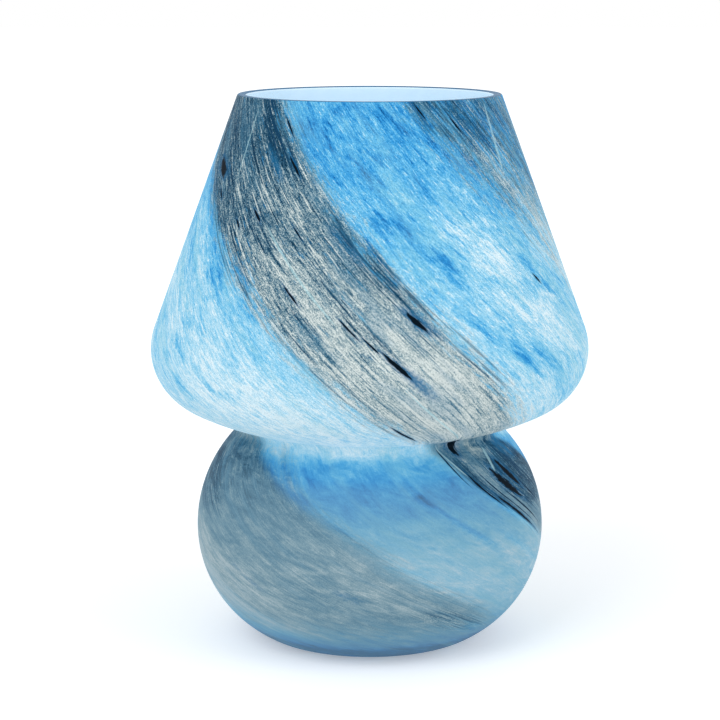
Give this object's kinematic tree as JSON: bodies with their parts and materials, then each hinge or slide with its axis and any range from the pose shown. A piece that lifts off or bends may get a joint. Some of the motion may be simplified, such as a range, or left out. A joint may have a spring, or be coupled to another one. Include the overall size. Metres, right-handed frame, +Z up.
{
  "type": "mushroom table lamp",
  "caption": "One-piece blown swirled-glass table lamp: open-topped conical shade, pinched waist and round base, with a lamp holder and bulb clamped in the neck.",
  "frame": {"origin": "on the table, under the lamp's axis: centre of the underside of the foot pads", "axes": "+Z up along the lamp's axis, -Y towards the front, +Y through the cord hole"},
  "size_m": [0.19, 0.1899, 0.2385],
  "materials": {
    "swirled_glass": "satin",
    "grey_rubber": "matte",
    "clear_silicone": "satin",
    "zinc_plated_steel": "bright zinc",
    "black_thermoset": "semi gloss",
    "white_ceramic": "unglazed",
    "brass": "bright",
    "bronze": "bright",
    "nickel_plated_brass": "nickel plated",
    "solder": "dull",
    "black_glass": "glossy",
    "white_plastic": "satin",
    "opal_diffuser": "frosted",
    "white_board": "solder mask",
    "yellow_phosphor": "matte",
    "green_board": "solder mask",
    "black_parts": "moulded"
  },
  "bodies": {
    "root": {"glass_body": "swirled_glass", "cord_grommet": "grey_rubber", "foot_pad_1": "clear_silicone", "foot_pad_2": "clear_silicone", "foot_pad_3": "clear_silicone", "foot_pad_4": "clear_silicone", "spider_boot_1": "clear_silicone", "spider_boot_2": "clear_silicone", "spider_boot_3": "clear_silicone", "clamp_boot_1": "clear_silicone", "clamp_boot_2": "clear_silicone", "spider": "zinc_plated_steel", "clamp_bar": "zinc_plated_steel", "threaded_tube": "zinc_plated_steel", "washer_upper": "zinc_plated_steel", "nut_upper": "zinc_plated_steel", "washer_lower": "zinc_plated_steel", "lock_washer": "zinc_plated_steel", "nut_lower": "zinc_plated_steel", "holder_grub_screw": "zinc_plated_steel", "holder_terminal_screws": "zinc_plated_steel", "holder_cap": "black_thermoset", "holder_skirt": "black_thermoset", "holder_contact_block": "white_ceramic", "holder_terminals": "brass", "holder_screw_shell": "brass", "holder_contact_leaf": "bronze"},
    "bulb_lift": {"bulb_tip_contact": "solder"},
    "bulb_turn": {"bulb_cap": "nickel_plated_brass", "bulb_insulator": "black_glass", "bulb_housing": "white_plastic", "bulb_globe": "opal_diffuser", "bulb_led_board": "white_board", "bulb_led_chips": "yellow_phosphor", "bulb_driver_board": "green_board", "bulb_driver_parts": "black_parts"}
  },
  "joints": [
    {"name": "bulb_rise", "type": "slide", "parent": "root", "child": "bulb_lift", "axis": [0, 0, 1], "range_m": [0, 0.01635]},
    {"name": "bulb_unscrew", "type": "hinge", "parent": "bulb_lift", "child": "bulb_turn", "pos_m": [0, 0, 0.16], "axis": [0, 0, 1], "range_deg": [0, 1620]}
  ],
  "couplings": [
    {"joint": "bulb_rise", "follows": "bulb_unscrew", "m_per_rad": 0.00057757}
  ]
}
